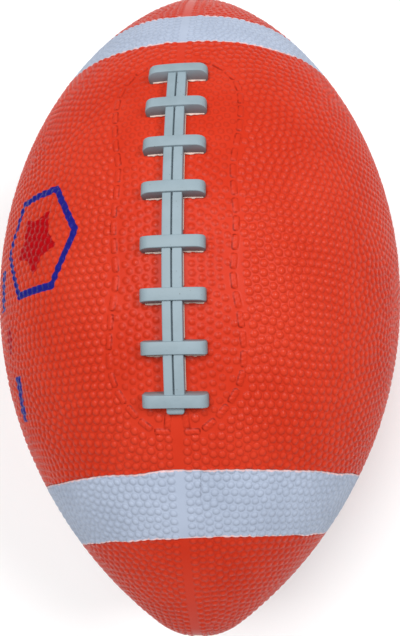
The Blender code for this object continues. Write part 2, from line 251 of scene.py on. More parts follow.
def near_pairs(points, reach):
    """The two index lists of every pair of points that lie within reach of each other."""
    tree = KDTree(len(points))
    for index, point in enumerate(points):
        tree.insert(point, index)
    tree.balance()
    pairs = []
    for index, point in enumerate(points):
        for _, other, _ in tree.find_range(point, reach):
            if other > index:
                pairs.append((index, other))
    return np.array(pairs).T


def grow_grain(seed):
    """Pushes grain centres apart over one quarter until they sit in uneven, bending rows."""
    end = FULL_LENGTH - GRAIN_END_MARGIN
    along, turn = start_grain(np.random.default_rng(seed), end)
    count = len(along)
    reach = 1.55 * GRAIN_PITCH
    for step in range(GRAIN_STEPS):
        if step % 6 == 0:
            one, two = near_pairs(skin(along, turn, 0.0), reach * 1.15)
        radius = outline(along)[1]
        gap_along = along[one] - along[two]
        gap_round = (turn[one] - turn[two]) * 0.5 * (radius[one] + radius[two])
        gap = np.maximum(np.hypot(gap_along, gap_round), 1e-6)
        push = np.maximum(1.0 - gap / reach, 0.0) ** 2 * GRAIN_PITCH * 0.55 / gap
        move_along = np.bincount(one, push * gap_along, count) - np.bincount(two, push * gap_along, count)
        move_round = np.bincount(one, push * gap_round, count) - np.bincount(two, push * gap_round, count)
        along = along + np.clip(move_along, -GRAIN_LONGEST_STEP, GRAIN_LONGEST_STEP)
        along = np.clip(along, -end, end)
        radius = outline(along)[1]
        turn = turn + np.clip(move_round, -GRAIN_LONGEST_STEP, GRAIN_LONGEST_STEP) / radius
        edge = (STRIP_HALF + GRAIN_RADIUS) / radius
        turn = np.clip(turn, edge, np.maximum(math.pi / 2.0 - edge, edge))
    return along, turn


def raise_grain(along, turn, grain, closed):
    """Height of the grain's domes on a sheet of points that is open or closed round the ball."""
    height = np.zeros(along.shape)
    radius = outline(along)[1]
    step_turn = turn[0, 1] - turn[0, 0]
    columns = along.shape[1]
    for centre, angle, size, top in grain.tolist():
        column = int(round((angle - turn[0, 0]) / step_turn))
        if not closed and not -4 <= column < columns + 4:
            continue
        near = min(max(column, 0), columns - 1) if not closed else column % columns
        line = along[:, near]
        if centre < line[0] - 0.0015 or centre > line[-1] + 0.0015:
            continue
        first = max(int(np.searchsorted(line, centre - size)) - 2, 0)
        last = min(int(np.searchsorted(line, centre + size)) + 3, len(line))
        if last <= first:
            continue
        ring = radius[min((first + last) // 2, len(line) - 1), near]
        span = int(size / max(ring * step_turn, 1e-5)) + 2
        span = min(span, columns // 2 - 1)
        picked = np.arange(column - span, column + span + 1)
        if closed:
            away = (picked - (angle - turn[0, 0]) / step_turn) * step_turn
            picked = picked % columns
        else:
            picked = picked[(picked >= 0) & (picked < columns)]
            away = turn[0, picked] - angle
            if not len(picked):
                continue
        block = np.ix_(np.arange(first, last), picked)
        across = radius[block] * away
        away_share = ((along[block] - centre) ** 2 + across**2) / size**2
        dome = top * np.maximum(1.0 - away_share**DOME_POWER, 0.0)
        height[block] = np.maximum(height[block], dome)
    return height


quarter_along, quarter_turn = grow_grain(11)
quarter_depth = np.interp(np.abs(quarter_along), (0.070, 0.090), (1.0, 0.75))
grain_rng = np.random.default_rng(5)
grain = []
for quarter in range(4):
    sizes = GRAIN_RADIUS * grain_rng.uniform(0.93, 1.06, len(quarter_along))
    tops = GRAIN_HEIGHT * quarter_depth * grain_rng.uniform(0.85, 1.1, len(quarter_along))
    spun = quarter_turn + (quarter - 2) * math.pi / 2.0
    way = 1.0 if quarter % 2 else -1.0
    grain.append(np.stack([way * quarter_along, spun, sizes, tops], 1))
grain = np.concatenate(grain)

# Where the colours meet: each band is laid by hand, so its two edges bow and slant a little round the
# ball, and the soft rubbers settle between the domes. A lie is a place, a bow and a slant in metres.

BAND_LIES = {
    "front": ((0.0824, 0.0052, -0.0031), (0.1087, 0.0052, -0.0033)),
    "rear": ((0.0808, 0.0064, 0.0003), (0.1060, 0.0064, -0.0020)),
}
EDGE_GAP = 0.00012
EDGE_SAMPLES = 1440
EDGE_WAVER = 0.0002


def wave(angle, seed, count, longest):
    """A smooth uneven line round the ball, about one high, with longest the fewest waves in a turn."""
    rng = np.random.default_rng(seed)
    total = np.zeros(angle.shape)
    for number in rng.integers(longest, longest * 4, count):
        total += np.sin(number * angle + rng.uniform(0.0, math.tau)) / math.sqrt(count)
    return total


def edge_path(side, place, bow, slant, seed):
    """Finds the line between two colours at one end of the ball: it winds between the grain's domes."""
    angle = np.arange(EDGE_SAMPLES) * math.tau / EDGE_SAMPLES - math.pi
    lie = side * (place + bow * np.sin(angle) ** 2 + slant * np.sin(angle))
    lie = lie + EDGE_WAVER * wave(angle, seed, 5, 6)
    offsets = np.arange(-6, 7) * 0.0001
    along = lie + offsets[:, None]
    turn = np.broadcast_to(angle, along.shape)
    cost = raise_grain(along, turn, grain, True) / GRAIN_HEIGHT + 500.0 * np.abs(offsets)[:, None]
    steps = np.abs(offsets[:, None] - offsets[None, :]) * 3000.0
    total = cost[:, 0].copy()
    came = []
    for column in range(1, EDGE_SAMPLES):
        ways = total[None, :] + steps
        came.append(ways.argmin(1))
        total = ways.min(1) + cost[:, column]
    spot = int(total.argmin())
    path = [spot]
    for back in reversed(came):
        spot = int(back[spot])
        path.append(spot)
    shift = offsets[np.array(path[::-1])]
    ease = np.hanning(11)
    shift = np.convolve(np.concatenate([shift[-5:], shift, shift[:5]]), ease / ease.sum(), "valid")
    return angle, lie + shift


def edge_at(edge, turn):
    """Where a colour line runs at the given angles."""
    return np.interp(turn, edge[0], edge[1], period=math.tau)


edges = {}
for seed, (end, side) in enumerate((("front", 1.0), ("rear", -1.0))):
    edges[end] = [edge_path(side, *lie, seed * 2 + number) for number, lie in enumerate(BAND_LIES[end])]

# The stitch line imitates a sewn patch round the lace: raised cords, each twisted from a few strands.
# Its places are millimetres along the ball and across it, on one side of the lace.

STITCH_LENGTH = 0.0050
STITCH_STEP = 0.0061
STITCH_HALF = 0.0010
STITCH_HEIGHT = 0.0006
STITCH_FOOT = 0.0003
# Width of the line of painted shade along each cord's rim.
STITCH_SHADE_WIDTH = 0.0006
STRAND_STEP = 0.0016
FAR_FROM_STITCH = 0.003
STITCH_LINE = (
    (-68, 5), (-66, 13), (-60, 19), (-53, 22), (-42, 22.5), (-31, 21.5), (-21, 19.3), (-11, 19.6),
    (0, 20.6), (10, 19.8), (20, 18.8), (29, 20.8), (41, 22.2), (50, 21.8), (57, 19), (64, 13.5),
    (68.5, 8.5), (71, 3.6), (66, 2.9), (62, 2.6),
)


def stitches():
    """The two ends of each cord of the stitch line on one side of the lace."""
    line = np.array(STITCH_LINE) * 0.001
    knots = np.arange(len(line))
    fine = np.linspace(0.0, len(line) - 1.0, 2000)
    smooth = np.stack([np.interp(fine, knots, line[:, axis]) for axis in (0, 1)], 1)
    ease = np.hanning(121)
    padded = np.concatenate([np.repeat(smooth[:1], 60, 0), smooth, np.repeat(smooth[-1:], 60, 0)])
    smooth = np.stack([np.convolve(padded[:, axis], ease / ease.sum(), "valid") for axis in (0, 1)], 1)
    length = np.concatenate([[0.0], np.cumsum(np.hypot(*np.diff(smooth, axis=0).T))])
    count = int(length[-1] / STITCH_STEP)
    cords = []
    for number in range(count):
        start = (number + 0.5) * length[-1] / count - STITCH_LENGTH / 2.0
        ends = []
        for reach in (start, start + STITCH_LENGTH):
            ends.append([np.interp(reach, length, smooth[:, axis]) for axis in (0, 1)])
        cords.append(np.array(ends))
    return cords


def raise_stitches(along, across, side):
    """Height of the cords, the distance to the nearest one's rim, and the painted shade along the rims."""
    height = np.zeros(along.shape)
    rim = np.full(along.shape, FAR_FROM_STITCH)
    painted_shade = np.zeros(along.shape)
    for number, (start, end) in enumerate(stitches()):
        near = np.abs(along - (start[0] + end[0]) / 2.0) < 0.006
        near &= np.abs(across - side * (start[1] + end[1]) / 2.0) < 0.006
        if not near.any():
            continue
        way = (end - start) / np.hypot(*(end - start))
        one = along[near] - start[0]
        two = side * across[near] - start[1]
        down = one * way[0] + two * way[1] - STITCH_LENGTH / 2.0
        over = two * way[0] - one * way[1]
        past_end = np.maximum(np.abs(down) - STITCH_LENGTH / 2.0 + STITCH_HALF * 0.6, 0.0)
        past_side = np.maximum(np.abs(over) - STITCH_HALF * 0.4, 0.0)
        bulge = np.hypot(past_end, past_side) - STITCH_HALF * 0.6
        strand = 0.72 + 0.28 * np.cos(math.tau * (down + 0.9 * over * side) / STRAND_STEP + number)
        cord = STITCH_HEIGHT * np.clip(-bulge / (STITCH_HALF * 0.45), 0.0, 1.0) ** 0.6 * strand
        height[near] = np.maximum(height[near], cord)
        rim[near] = np.minimum(rim[near], bulge)
        # Painted shade: a dark line along each cord's rim, darker on one side of the cord.
        line = np.clip(1.0 - np.abs(bulge) / STITCH_SHADE_WIDTH, 0.0, 1.0) * np.where(over < 0.0, 1.0, 0.7)
        painted_shade[near] = np.maximum(painted_shade[near], line)
    return height, rim, painted_shade


# Each panel takes one quarter of the grain between the two bands. Domes are left out under the lace,
# under the stitch line and round the valve, and are lower inside the stitch line.

PANEL_ROWS = 360
PANEL_COLUMNS = 264
VALVE_SMOOTH_RADIUS = 0.0072
VALVE_HOLE_RADIUS = 0.0048
LACE_END = 0.0655
LACE_HALF = 0.0036
PATCH_END = 0.064
PATCH_GRAIN = (1.0, 1.0, 0.86, 0.6)


def clear_of_lace(grain):
    """Leaves out the domes that the lace, the stitch line or the valve stands on."""
    along, turn = grain[:, 0], grain[:, 1]
    across = outline(along)[1] * (np.mod(turn + math.pi, math.tau) - math.pi)
    kept = ~((np.abs(along) < LACE_END) & (np.abs(across) < LACE_HALF))
    for start, end in stitches():
        for step in np.linspace(0.0, 1.0, 5):
            spot = start + (end - start) * step
            far = np.hypot(along - spot[0], np.abs(across) - spot[1])
            kept &= far > STITCH_HALF + GRAIN_RADIUS * 0.55
    round_valve = np.hypot(along, BALL_RADIUS * (turn - math.pi / 2.0))
    kept &= round_valve > VALVE_SMOOTH_RADIUS + GRAIN_RADIUS
    line = np.array(STITCH_LINE)[1:16] * 0.001
    inside = (np.abs(along) < PATCH_END) & (np.abs(across) < np.interp(along, line[:, 0], line[:, 1]))
    return (grain * np.where(inside[:, None], PATCH_GRAIN, 1.0))[kept]


PRINT_PLACE = (0.0, -0.056)
PRINT_HALF = 0.0178
PRINT_LINE_HALF = 0.00135
PRINT_BAR_HALF = 0.0025
PRINT_BARS = ((0.046, 0.063, -0.0725), (0.027, 0.037, -0.078), (0.004, 0.020, -0.085))
STAR_REACH = 0.0125
STAR_LEAN = math.radians(54.0)


def printed_marks(along, across):
    """Where the two inks of the plain print lie: a six-sided ring round a star, and three short bars."""
    one = along - PRINT_PLACE[0]
    two = across - PRINT_PLACE[1]
    six = [np.abs(one * math.cos(a) + two * math.sin(a)) for a in (0.0, math.pi / 3.0, -math.pi / 3.0)]
    ring = np.abs(np.maximum.reduce(six) - PRINT_HALF) - PRINT_LINE_HALF
    bars = []
    for start, end, middle in PRINT_BARS:
        past_end = np.abs(along - (start + end) / 2.0) - (end - start) / 2.0
        bars.append(np.maximum(past_end, np.abs(across - middle) - PRINT_BAR_HALF))
    angle = np.mod(np.arctan2(two, one) + math.pi / 5.0, math.tau / 5.0) - math.pi / 5.0
    size = np.hypot(one, two)
    star = size * np.cos(angle) * math.cos(STAR_LEAN) + size * np.abs(np.sin(angle)) * math.sin(STAR_LEAN)
    star = star - STAR_REACH * math.cos(STAR_LEAN)
    blue = np.minimum.reduce([ring, bars[0], bars[2]])
    red = np.minimum(star, bars[1])
    return {"blue_ink": np.clip(0.5 - blue * 1000.0, 0, 1), "red_ink": np.clip(0.5 - red * 1000.0, 0, 1)}


def solid_sheet(name, along, turn, height, closed=False, tip=False, hole=0.0):
    """Makes one cover piece from a sheet of points, with its cut edges turned in to the carcass."""
    rows, columns = along.shape
    index = np.arange(rows * columns).reshape(rows, columns)
    if closed:
        index = np.concatenate([index, index[:, :1]], 1)
    quads = np.stack([index[:-1, :-1], index[:-1, 1:], index[1:, 1:], index[1:, :-1]], -1).reshape(-1, 4)
    along, turn, height = along.reshape(-1), turn.reshape(-1), height.reshape(-1)
    if hole:
        far = np.hypot(along, BALL_RADIUS * (turn - math.pi / 2.0))
        grow = np.where(far < hole, hole / np.maximum(far, 1e-6), 1.0)
        quads = quads[~(far < hole)[quads].all(1)]
        along = along * grow
        turn = math.pi / 2.0 + (turn - math.pi / 2.0) * grow
    points = skin(along, turn, height)
    sides = np.concatenate([quads[:, [corner, (corner + 1) % 4]] for corner in range(4)])
    if tip:
        last = index[-1]
        sides = np.concatenate([sides, np.stack([last[:-1], last[1:]], 1)])
    key = sides[:, 0] * len(points) + sides[:, 1]
    rim = sides[~np.isin(sides[:, 1] * len(points) + sides[:, 0], key)]
    if tip:
        rim = rim[~np.isin(rim[:, 0], index[-1])]
    on_rim = np.unique(rim)
    below = np.zeros(len(points), int)
    below[on_rim] = len(points) + np.arange(len(on_rim))
    turned_in = skin(along[on_rim], turn[on_rim], np.full(len(on_rim), -COVER_THICKNESS))
    points = np.concatenate([points, turned_in])
    walls = np.stack([rim[:, 1], rim[:, 0], below[rim[:, 0]], below[rim[:, 1]]], 1)
    faces = quads.tolist() + walls.tolist()
    if tip:
        faces.append(index[-1, :-1].tolist())
    mesh = bpy.data.meshes.new(name)
    mesh.from_pydata(points.tolist(), [], faces)
    mesh.shade_smooth()
    mesh.set_sharp_from_angle(angle=math.radians(62.0))
    piece = bpy.data.objects.new(name, mesh)
    bpy.context.scene.collection.objects.link(piece)
    return piece


def note(piece, name, values):
    """Stores one number for each point of a piece; the points of its turned-in edges get none."""
    kept = np.zeros(len(piece.data.vertices), np.float32)
    flat = np.asarray(values, np.float32).reshape(-1)
    kept[: len(flat)] = flat
    layer = piece.data.attributes.new(name, "FLOAT", "POINT")
    layer.data.foreach_set("value", kept)


def drop_loose_points(piece):
    """Takes out the points that no face uses."""
    solid = bmesh.new()
    solid.from_mesh(piece.data)
    loose = [point for point in solid.verts if not point.link_faces]
    bmesh.ops.delete(solid, geom=loose, context="VERTS")
    solid.to_mesh(piece.data)
    solid.free()


COVER_CLOUD = 0.022222
# Size of the patches that vary the painted rim shade and wear the inks.
SHADE_AND_WEAR_PATCH = 0.0030303
MOULD_TOOTH = 0.00045455


def painted_foot_shade(tree, dome, top):
    """How much painted shade shows: a thin ring round the foot of each dome, where shade falls, that fades
    out towards its top.
    """
    values = {"From Max": 0.12}
    foot = add_node(tree, "ShaderNodeMapRange", SOFT_RANGE, values, {"Value": dome}).outputs["Result"]
    values = {"From Min": 0.2, "From Max": top, "To Min": 0.3, "To Max": 0.0}
    fade = add_node(tree, "ShaderNodeMapRange", SOFT_RANGE, values, {"Value": dome}).outputs["Result"]
    return add_node(tree, "ShaderNodeMath", {"operation": "MULTIPLY"}, {}, {0: foot, 1: fade}).outputs[0]


def mould_tooth(tree, place):
    """The fine tooth that a satin mould leaves all over the rubber."""
    values = {"Scale": 1.0 / MOULD_TOOTH, "Detail": 2.0}
    tooth = add_node(tree, "ShaderNodeTexNoise", {}, values, {"Vector": place}).outputs["Fac"]
    values = {"Strength": 0.15, "Distance": 0.0002}
    return add_node(tree, "ShaderNodeBump", {}, values, {"Height": tooth}).outputs["Normal"]


def orange_rubber():
    """Orange natural rubber from a satin mould: a soft sheen, dome tops a little paler as painted light, and
    painted shade round their feet.
    """
    material, tree, place = new_material("moulded_orange_rubber")
    values = {"Scale": 1.0 / COVER_CLOUD, "Detail": 4.0}
    clouds = add_node(tree, "ShaderNodeTexNoise", {}, values, {"Vector": place}).outputs["Fac"]
    values = {"From Min": 0.3, "From Max": 0.7}
    cloud = add_node(tree, "ShaderNodeMapRange", SOFT_RANGE, values, {"Value": clouds}).outputs["Result"]
    values = {6: linear("#BF301A"), 7: linear("#C73822")}
    colour = add_node(tree, "ShaderNodeMix", COLOUR_MIX, values, {0: cloud}).outputs[2]

    # The tops of the domes are painted paler as painted light, and a thin ring of painted shade lies round
    # the foot of each.
    dome = add_node(tree, "ShaderNodeAttribute", {"attribute_name": "dome"}).outputs["Fac"]
    values = {"To Max": 0.3}
    painted_dome_light = add_node(tree, "ShaderNodeMapRange", SOFT_RANGE, values, {"Value": dome}).outputs["Result"]
    layers = [(painted_dome_light, "#D1442D"), (painted_foot_shade(tree, dome, 0.75), "#8C1C0C")]

    # Painted shade lies along the rims of the cords, in patches.
    painted_shade = add_node(tree, "ShaderNodeAttribute", {"attribute_name": "stitch_rim_shade"}).outputs["Fac"]
    values = {"From Min": 0.35, "From Max": 0.8}
    painted_shade = add_node(tree, "ShaderNodeMapRange", SOFT_RANGE, values, {"Value": painted_shade}).outputs["Result"]
    values = {"Scale": 1.0 / SHADE_AND_WEAR_PATCH, "Detail": 2.0}
    patches = add_node(tree, "ShaderNodeTexNoise", {}, values, {"Vector": place}).outputs["Fac"]
    values = {"From Min": 0.3, "From Max": 0.6, "To Min": 0.15, "To Max": 0.8}
    depth = add_node(tree, "ShaderNodeMapRange", SOFT_RANGE, values, {"Value": patches}).outputs["Result"]
    painted_shade = add_node(tree, "ShaderNodeMath", {"operation": "MULTIPLY"}, {}, {0: painted_shade, 1: depth}).outputs[0]
    layers.append((painted_shade, "#7E1A10"))

    # The two inks cover what is under them, a little worn in the same patches.
    values = {"From Min": 0.6, "From Max": 0.75, "To Max": 0.12}
    worn = add_node(tree, "ShaderNodeMapRange", SOFT_RANGE, values, {"Value": patches}).outputs["Result"]
    for ink, shade in (("blue_ink", "#1B1C78"), ("red_ink", "#A3040E")):
        cover = add_node(tree, "ShaderNodeAttribute", {"attribute_name": ink}).outputs["Fac"]
        links = {0: cover, 1: worn}
        cover = add_node(tree, "ShaderNodeMath", {"operation": "SUBTRACT"}, {}, links).outputs[0]
        values = {"From Min": 0.4, "From Max": 0.6}
        cover = add_node(tree, "ShaderNodeMapRange", SOFT_RANGE, values, {"Value": cover}).outputs["Result"]
        layers.append((cover, shade))
    for amount, shade in layers:
        links = {0: amount, 6: colour}
        colour = add_node(tree, "ShaderNodeMix", COLOUR_MIX, {7: linear(shade)}, links).outputs[2]

    values = {"To Min": 0.34, "To Max": 0.22}
    gloss = add_node(tree, "ShaderNodeMapRange", SOFT_RANGE, values, {"Value": dome}).outputs["Result"]
    values = {"IOR": 1.52, "Specular IOR Level": 0.08}
    links = {"Base Color": colour, "Roughness": gloss, "Normal": mould_tooth(tree, place)}
    shader = add_node(tree, "ShaderNodeBsdfPrincipled", {}, values, links)
    add_node(tree, "ShaderNodeOutputMaterial", {}, {}, {"Surface": shader.outputs["BSDF"]})
    return material


cover_rubber = orange_rubber()
grain = clear_of_lace(grain)
for number, name in enumerate(("bottom_left", "top_left", "top_right", "bottom_right")):
    turn = np.linspace(0.0, math.pi / 2.0, PANEL_COLUMNS + 1) + (number - 2) * math.pi / 2.0
    low = edge_at(edges["rear"][0], turn) + EDGE_GAP
    high = edge_at(edges["front"][0], turn) - EDGE_GAP
    share = np.linspace(0.0, 1.0, PANEL_ROWS + 1)[:, None]
    along = low + (high - low) * share
    turn = np.broadcast_to(turn, along.shape)
    across = outline(along)[1] * turn
    height = raise_grain(along, turn, grain, False)
    dome = height / GRAIN_HEIGHT
    # The top panels carry painted shade along the rims of their cords.
    painted_shade = np.zeros(along.shape)
    if "top" in name:
        cords, rim, painted_shade = raise_stitches(along, across, -1.0 if "left" in name else 1.0)
        height = np.where(rim < STITCH_FOOT, cords, height)
    hole = VALVE_HOLE_RADIUS if "right" in name else 0.0
    piece = solid_sheet("cover_" + name, along, turn, height, hole=hole)
    if name == "top_left":
        for ink, cover in printed_marks(along, across).items():
            note(piece, ink, cover)
    note(piece, "dome", dome)
    note(piece, "stitch_rim_shade", painted_shade)
    drop_loose_points(piece)
    piece.data.materials.append(cover_rubber)
    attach(piece, "root")
    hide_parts("cover_panel_" + name)

# End caps: the same orange rubber beyond the bands, drawn in to the two round tips.
# They come from the same mould, so the grain and the four smooth strips run on over them.

CAP_ROWS = 132
CAP_COLUMNS = 640
TIP_HOLE = 0.0003

for end, side in (("front", 1.0), ("rear", -1.0)):
    turn = np.arange(CAP_COLUMNS) * math.tau / CAP_COLUMNS - math.pi
    base = side * edge_at(edges[end][1], turn) + EDGE_GAP
    share = np.linspace(0.0, 1.0, CAP_ROWS + 1)[:, None]
    along = side * (base + (FULL_LENGTH - TIP_HOLE - base) * share)
    turn = np.broadcast_to(turn, along.shape)
    rising = slice(None) if side > 0 else slice(None, None, -1)
    height = raise_grain(along[rising], turn, grain, True)[rising]
    if side < 0:
        along, turn, height = along[:, ::-1], turn[:, ::-1], height[:, ::-1]
    piece = solid_sheet("cap_" + end, along, turn, height, True, True)
    note(piece, "dome", height / GRAIN_HEIGHT)
    piece.data.materials.append(cover_rubber)
    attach(piece, "root")
    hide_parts("end_cap_" + end)

# White bands: strips of white rubber laid in the mould before the orange, so that the same grain runs on
# over them. Their edges are squeezed into the orange and leave a thin pinkish fringe; their ends just meet.

BAND_ROWS = 56
BAND_COLUMNS = 960
BAND_JOIN = math.radians(6.0)
BAND_JOIN_HALF = 0.0006
BAND_JOIN_DEPTH = 0.0002
BAND_CLOUD = 0.016667
FRINGE_RAG = 0.0014286


def white_rubber():
    """Cool white rubber from the same mould: satin, with painted shade greying the feet of the domes."""
    material, tree, place = new_material("moulded_white_rubber")
    values = {"Scale": 1.0 / BAND_CLOUD, "Detail": 4.0}
    clouds = add_node(tree, "ShaderNodeTexNoise", {}, values, {"Vector": place}).outputs["Fac"]
    values = {"From Min": 0.3, "From Max": 0.7}
    cloud = add_node(tree, "ShaderNodeMapRange", SOFT_RANGE, values, {"Value": clouds}).outputs["Result"]
    values = {6: linear("#A4AFC3"), 7: linear("#ACB7CB")}
    colour = add_node(tree, "ShaderNodeMix", COLOUR_MIX, values, {0: cloud}).outputs[2]

    # A thin ring of painted shade lies round the foot of each dome, and a line of dirt lies in the join.
    dome = add_node(tree, "ShaderNodeAttribute", {"attribute_name": "dome"}).outputs["Fac"]
    ring = painted_foot_shade(tree, dome, 0.8)
    join = add_node(tree, "ShaderNodeAttribute", {"attribute_name": "join"}).outputs["Fac"]
    values = {"From Min": 0.3, "From Max": 0.9, "To Max": 0.5}
    join = add_node(tree, "ShaderNodeMapRange", SOFT_RANGE, values, {"Value": join}).outputs["Result"]

    # The fringe is a ragged line about 0.4 mm wide, where a film of white lies over the orange.
    edge = add_node(tree, "ShaderNodeAttribute", {"attribute_name": "edge"}).outputs["Fac"]
    values = {"Scale": 1.0 / FRINGE_RAG, "Detail": 3.0}
    ragged = add_node(tree, "ShaderNodeTexNoise", {}, values, {"Vector": place}).outputs["Fac"]
    values = {"From Min": 0.3, "From Max": 0.7, "To Min": -0.25, "To Max": 0.25}
    ragged = add_node(tree, "ShaderNodeMapRange", SOFT_RANGE, values, {"Value": ragged}).outputs["Result"]
    edge = add_node(tree, "ShaderNodeMath", {"operation": "ADD"}, {}, {0: edge, 1: ragged}).outputs[0]
    values = {"From Min": 0.25, "From Max": 0.6, "To Min": 0.8, "To Max": 0.0}
    fringe = add_node(tree, "ShaderNodeMapRange", SOFT_RANGE, values, {"Value": edge}).outputs["Result"]
    for amount, shade in ((ring, "#7A8496"), (join, "#6F7482"), (fringe, "#E9BDB9")):
        links = {0: amount, 6: colour}
        colour = add_node(tree, "ShaderNodeMix", COLOUR_MIX, {7: linear(shade)}, links).outputs[2]

    values = {"To Min": 0.5, "To Max": 0.55}
    gloss = add_node(tree, "ShaderNodeMapRange", SOFT_RANGE, values, {"Value": dome}).outputs["Result"]
    values = {"IOR": 1.52, "Specular IOR Level": 0.25}
    links = {"Base Color": colour, "Roughness": gloss, "Normal": mould_tooth(tree, place)}
    shader = add_node(tree, "ShaderNodeBsdfPrincipled", {}, values, links)
    add_node(tree, "ShaderNodeOutputMaterial", {}, {}, {"Surface": shader.outputs["BSDF"]})
    return material


band_rubber = white_rubber()
for end, side in (("front", 1.0), ("rear", -1.0)):
    turn = np.arange(BAND_COLUMNS) * math.tau / BAND_COLUMNS - math.pi
    ends = [edge_at(edges[end][number], turn) for number in (0, 1)]
    low = np.minimum(*ends) + EDGE_GAP
    high = np.maximum(*ends) - EDGE_GAP
    share = np.linspace(0.0, 1.0, BAND_ROWS + 1)[:, None]
    along = low + (high - low) * share
    turn = np.broadcast_to(turn, along.shape)
    height = raise_grain(along, turn, grain, True)
    join_turn = BAND_JOIN if side > 0 else BAND_JOIN - math.pi
    off_join = np.abs(outline(along)[1] * (turn - join_turn) + 0.0002 * np.sin(along * 2600.0))
    inward = np.clip(4.0 * (high - along) / (high - low) - 1.6, 0.1, 1.0)
    join = np.clip(1.0 - off_join / BAND_JOIN_HALF, 0.0, 1.0) * inward
    height = height - BAND_JOIN_DEPTH * join
    piece = solid_sheet("band_" + end, along, turn, height, True)
    note(piece, "join", join)
    note(piece, "dome", height / GRAIN_HEIGHT)
    note(piece, "edge", np.minimum(along - low, high - along) * 1000.0)
    piece.data.materials.append(band_rubber)
    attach(piece, "root")
    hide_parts("white_band_" + end)

# Lace: one moulded strip of pale rubber, glued down over the top seam. Eight flat bars with rounded ends
# cross two rails with a groove between them. The mould's parting line leaves a thin ragged flash at its foot.

BAR_PITCH = 0.0164
MIDDLE_BARS_AT = 0.0091
BAR_PLACES = [side * (MIDDLE_BARS_AT + BAR_PITCH * step) for side in (-1.0, 1.0) for step in range(4)]
BAR_PLACES.sort()
BAR_HALF_LENGTH = 0.0105
BAR_FOOT_HALF = 0.0025
BAR_TOP_HALF = 0.0020
BAR_HEIGHT = 0.0045
BAR_SHOULDER = 0.0034
BAR_CORNER = 0.0009
LACE_ROUND = 0.0003
FOOT_DEPTH = 0.0006


def lace_points(along, across, height):
    """Points of the lace, from their places along it and across it and their heights over the skin."""
    return skin(along, across / outline(along)[1], height)


def rounded_edge(half, top):
    """The small round between the side and the top of a cross-section."""
    turns = np.linspace(0.0, math.pi / 2.0, 4)
    return [(half - LACE_ROUND * (1.0 - math.cos(a)), top - LACE_ROUND * (1.0 - math.sin(a))) for a in turns]


def loft(rings, heights, flash=0.0):
    """Points, faces, heights over the skin and flash mark of a closed solid made from rings of points."""
    count = len(rings[0])
    faces = []
    for ring in range(len(rings) - 1):
        first = ring * count
        second = first + count
        for place in range(count):
            after = (place + 1) % count
            faces.append([first + place, first + after, second + after, second + place])
    faces.append(list(range(count))[::-1])
    faces.append([(len(rings) - 1) * count + place for place in range(count)])
    points = np.concatenate(rings)
    return points, faces, np.concatenate(heights), np.full(len(points), flash)


def lace_bar(place):
    """One bar: drafted sides, a flat top that rolls down to its two ends, and small rounds on its edges."""
    rings = []
    heights = []
    flat = np.linspace(-1.0, 1.0, 13) * (BAR_HALF_LENGTH - BAR_SHOULDER)
    arc = np.sin(np.linspace(0.12, 1.0, 9) * math.pi / 2.0) * BAR_SHOULDER + BAR_HALF_LENGTH - BAR_SHOULDER
    for across in np.concatenate([-arc[::-1], flat, arc]):
        over = max(abs(across) - (BAR_HALF_LENGTH - BAR_SHOULDER), 0.0)
        top = BAR_HEIGHT - BAR_SHOULDER + math.sqrt(max(BAR_SHOULDER**2 - over**2, 0.0))
        past_corner = max(over - BAR_SHOULDER + BAR_CORNER, 0.0)
        inset = BAR_CORNER - math.sqrt(max(BAR_CORNER**2 - past_corner**2, 0.0)) * 0.999
        half = BAR_FOOT_HALF - (BAR_FOOT_HALF - BAR_TOP_HALF) * top / BAR_HEIGHT - inset
        side = [(BAR_FOOT_HALF - inset, -FOOT_DEPTH)] + rounded_edge(half, top)
        x, h = np.array(side + [(-x, h) for x, h in reversed(side)]).T
        rings.append(lace_points(place + x, across, h))
        heights.append(h)
    return loft(rings, heights)


RAIL_HALF = 0.0031
RAIL_HEIGHT = 0.0037
RAIL_DRAFT = 0.0002
RAIL_START = -0.0607
RAIL_END = 0.0629
# Raises the rails' noted rise so that less painted shade falls on them.
RAIL_SHADE_LIFT = 0.0011
GROOVE_END = 0.0595
GROOVE = ((-0.00042, 0.0), (-0.00034, -0.0003), (-0.00012, -0.0014), (0.0002, -0.0015), (0.00026, 0.0))
TAB_START = 0.0597
TAB_HEIGHT = 0.0026
TAB_INSET = 0.0004
TAB_ROUND = 0.001


def lace_rails():
    """The two rails as one long strip, with the groove between them, ending in a plain rounded tab."""
    rings = []
    heights = []
    rolled = RAIL_END - TAB_ROUND + TAB_ROUND * np.sin(np.linspace(0.2, 1.0, 6) * math.pi / 2.0)
    tabbed = np.linspace(TAB_START, RAIL_END - TAB_ROUND, 6)
    for along in np.concatenate([np.linspace(RAIL_START, GROOVE_END, 110), tabbed, rolled]):
        tab = along >= TAB_START
        over = max(along - (RAIL_END - TAB_ROUND), 0.0)
        shrink = TAB_ROUND - math.sqrt(max(TAB_ROUND**2 - over**2, 0.0))
        top = (TAB_HEIGHT if tab else RAIL_HEIGHT) - shrink * 0.8
        half = RAIL_HALF - shrink - (TAB_INSET if tab else 0.0)
        corner = rounded_edge(half, top)
        left = [(-half - RAIL_DRAFT, -FOOT_DEPTH)] + [(-x, h) for x, h in corner]
        right = [(x, h) for x, h in reversed(corner)] + [(half + RAIL_DRAFT, -FOOT_DEPTH)]
        depth = 0.0 if tab else 1.0
        w, h = np.array(left + [(w, top + h * depth) for w, h in GROOVE] + right).T
        rings.append(lace_points(along, w, h))
        heights.append(h + RAIL_SHADE_LIFT)
    return loft(rings, heights)


FLASH_STEP = 0.0004
FLASH_LEAST = 0.00015
FLASH_SPREAD = 0.0009
# The flash's noted rise, high enough that little painted shade falls on it.
FLASH_SHADE_RISE = 0.004


